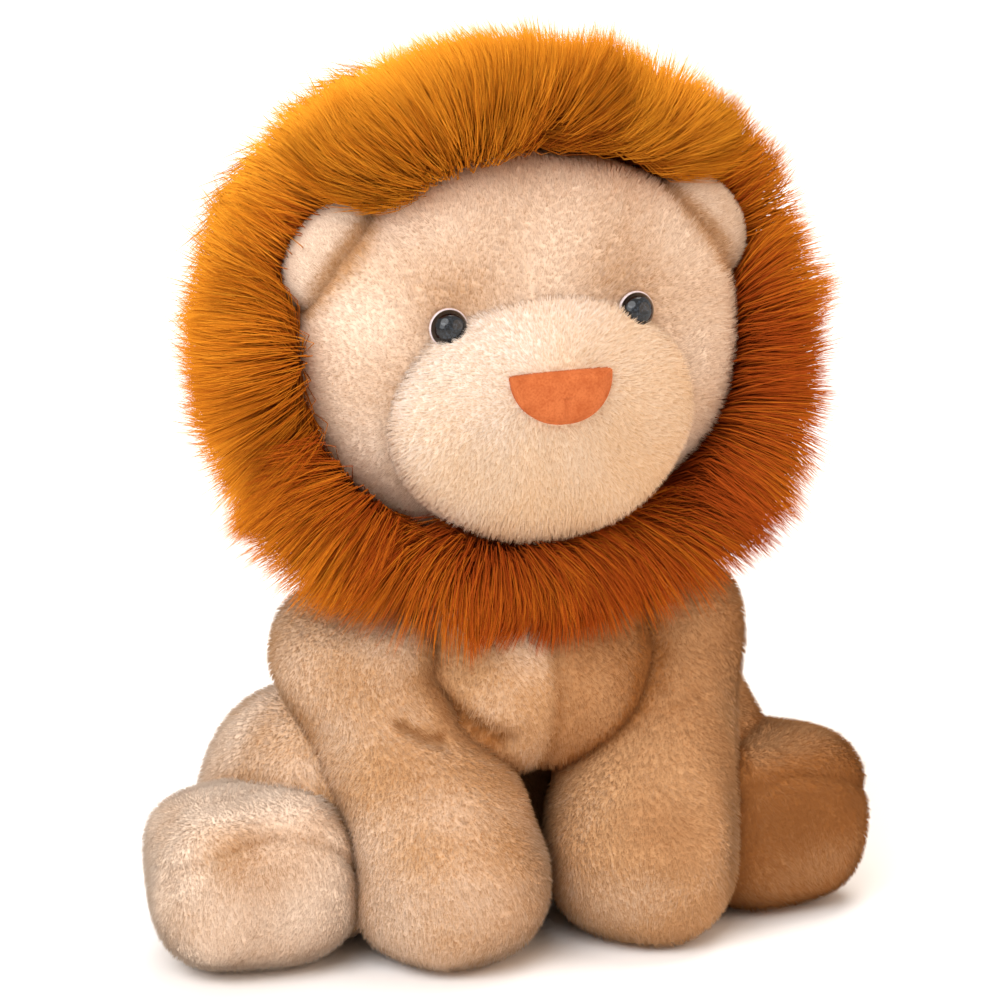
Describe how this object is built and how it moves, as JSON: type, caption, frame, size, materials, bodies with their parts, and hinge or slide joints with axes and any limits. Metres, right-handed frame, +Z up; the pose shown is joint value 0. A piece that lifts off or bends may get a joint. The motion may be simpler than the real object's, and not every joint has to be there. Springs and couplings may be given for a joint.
{
  "type": "plush toy animal",
  "caption": "Sitting plush lion of beige pile with a full orange-brown mane round its face, a suede nose and safety eyes; its head, legs and tail flex at their seams.",
  "frame": {"origin": "on the surface that the toy sits on, under the torso, midway between its sides", "axes": "+Z up, -Y the way the lion faces, +X to its left"},
  "size_m": [0.242, 0.2506, 0.2905],
  "materials": {
    "short_pile": "short soft beige pile",
    "pale_pile": "short soft pale beige pile",
    "long_pile": "long straight orange-brown pile with darker roots",
    "suede": "matt terracotta suede cloth",
    "eye_plastic": "polished black",
    "washer_plastic": "natural moulded",
    "fibre_filling": "loose white fibre"
  },
  "bodies": {
    "torso": {"torso_cover": "short_pile", "torso_filling": "fibre_filling"},
    "head": {"head_cover": "short_pile", "head_filling": "fibre_filling", "muzzle_cover": "pale_pile", "nose": "suede", "eye_left": "eye_plastic", "eye_right": "eye_plastic", "eye_washer_left": "washer_plastic", "eye_washer_right": "washer_plastic", "ear_left": "short_pile", "ear_right": "short_pile", "mane": "long_pile"},
    "front_leg_left": {"front_leg_left_cover": "short_pile", "front_leg_left_filling": "fibre_filling"},
    "front_leg_right": {"front_leg_right_cover": "short_pile", "front_leg_right_filling": "fibre_filling"},
    "hind_leg_left": {"thigh_left_cover": "short_pile", "thigh_left_filling": "fibre_filling", "hind_foot_left_cover": "short_pile", "hind_foot_left_filling": "fibre_filling"},
    "hind_leg_right": {"thigh_right_cover": "short_pile", "thigh_right_filling": "fibre_filling", "hind_foot_right_cover": "short_pile", "hind_foot_right_filling": "fibre_filling"},
    "tail": {"tail": "short_pile", "tail_tuft": "long_pile"}
  },
  "joints": [
    {"name": "head_turn", "type": "hinge", "parent": "torso", "child": "head", "pos_m": [0, -0.03, 0.142], "axis": [0, 0, 1], "range_deg": [-15, 15], "stiffness_Nm_per_rad": 0.6},
    {"name": "front_leg_left_swing", "type": "hinge", "parent": "torso", "child": "front_leg_left", "pos_m": [0.05, -0.048, 0.084], "axis": [-1, 0, 0], "range_deg": [0, 20], "stiffness_Nm_per_rad": 0.2},
    {"name": "front_leg_right_swing", "type": "hinge", "parent": "torso", "child": "front_leg_right", "pos_m": [-0.05, -0.048, 0.084], "axis": [-1, 0, 0], "range_deg": [0, 20], "stiffness_Nm_per_rad": 0.2},
    {"name": "hind_leg_left_splay", "type": "hinge", "parent": "torso", "child": "hind_leg_left", "pos_m": [0.05, 0.008, 0], "axis": [0, 0, 1], "range_deg": [0, 15], "stiffness_Nm_per_rad": 0.2},
    {"name": "hind_leg_right_splay", "type": "hinge", "parent": "torso", "child": "hind_leg_right", "pos_m": [-0.05, 0.008, 0], "axis": [0, 0, -1], "range_deg": [0, 15], "stiffness_Nm_per_rad": 0.2},
    {"name": "tail_swing", "type": "hinge", "parent": "torso", "child": "tail", "pos_m": [0, 0.062, 0.024], "axis": [0, 0, 1], "range_deg": [-25, 25], "stiffness_Nm_per_rad": 0.02}
  ]
}
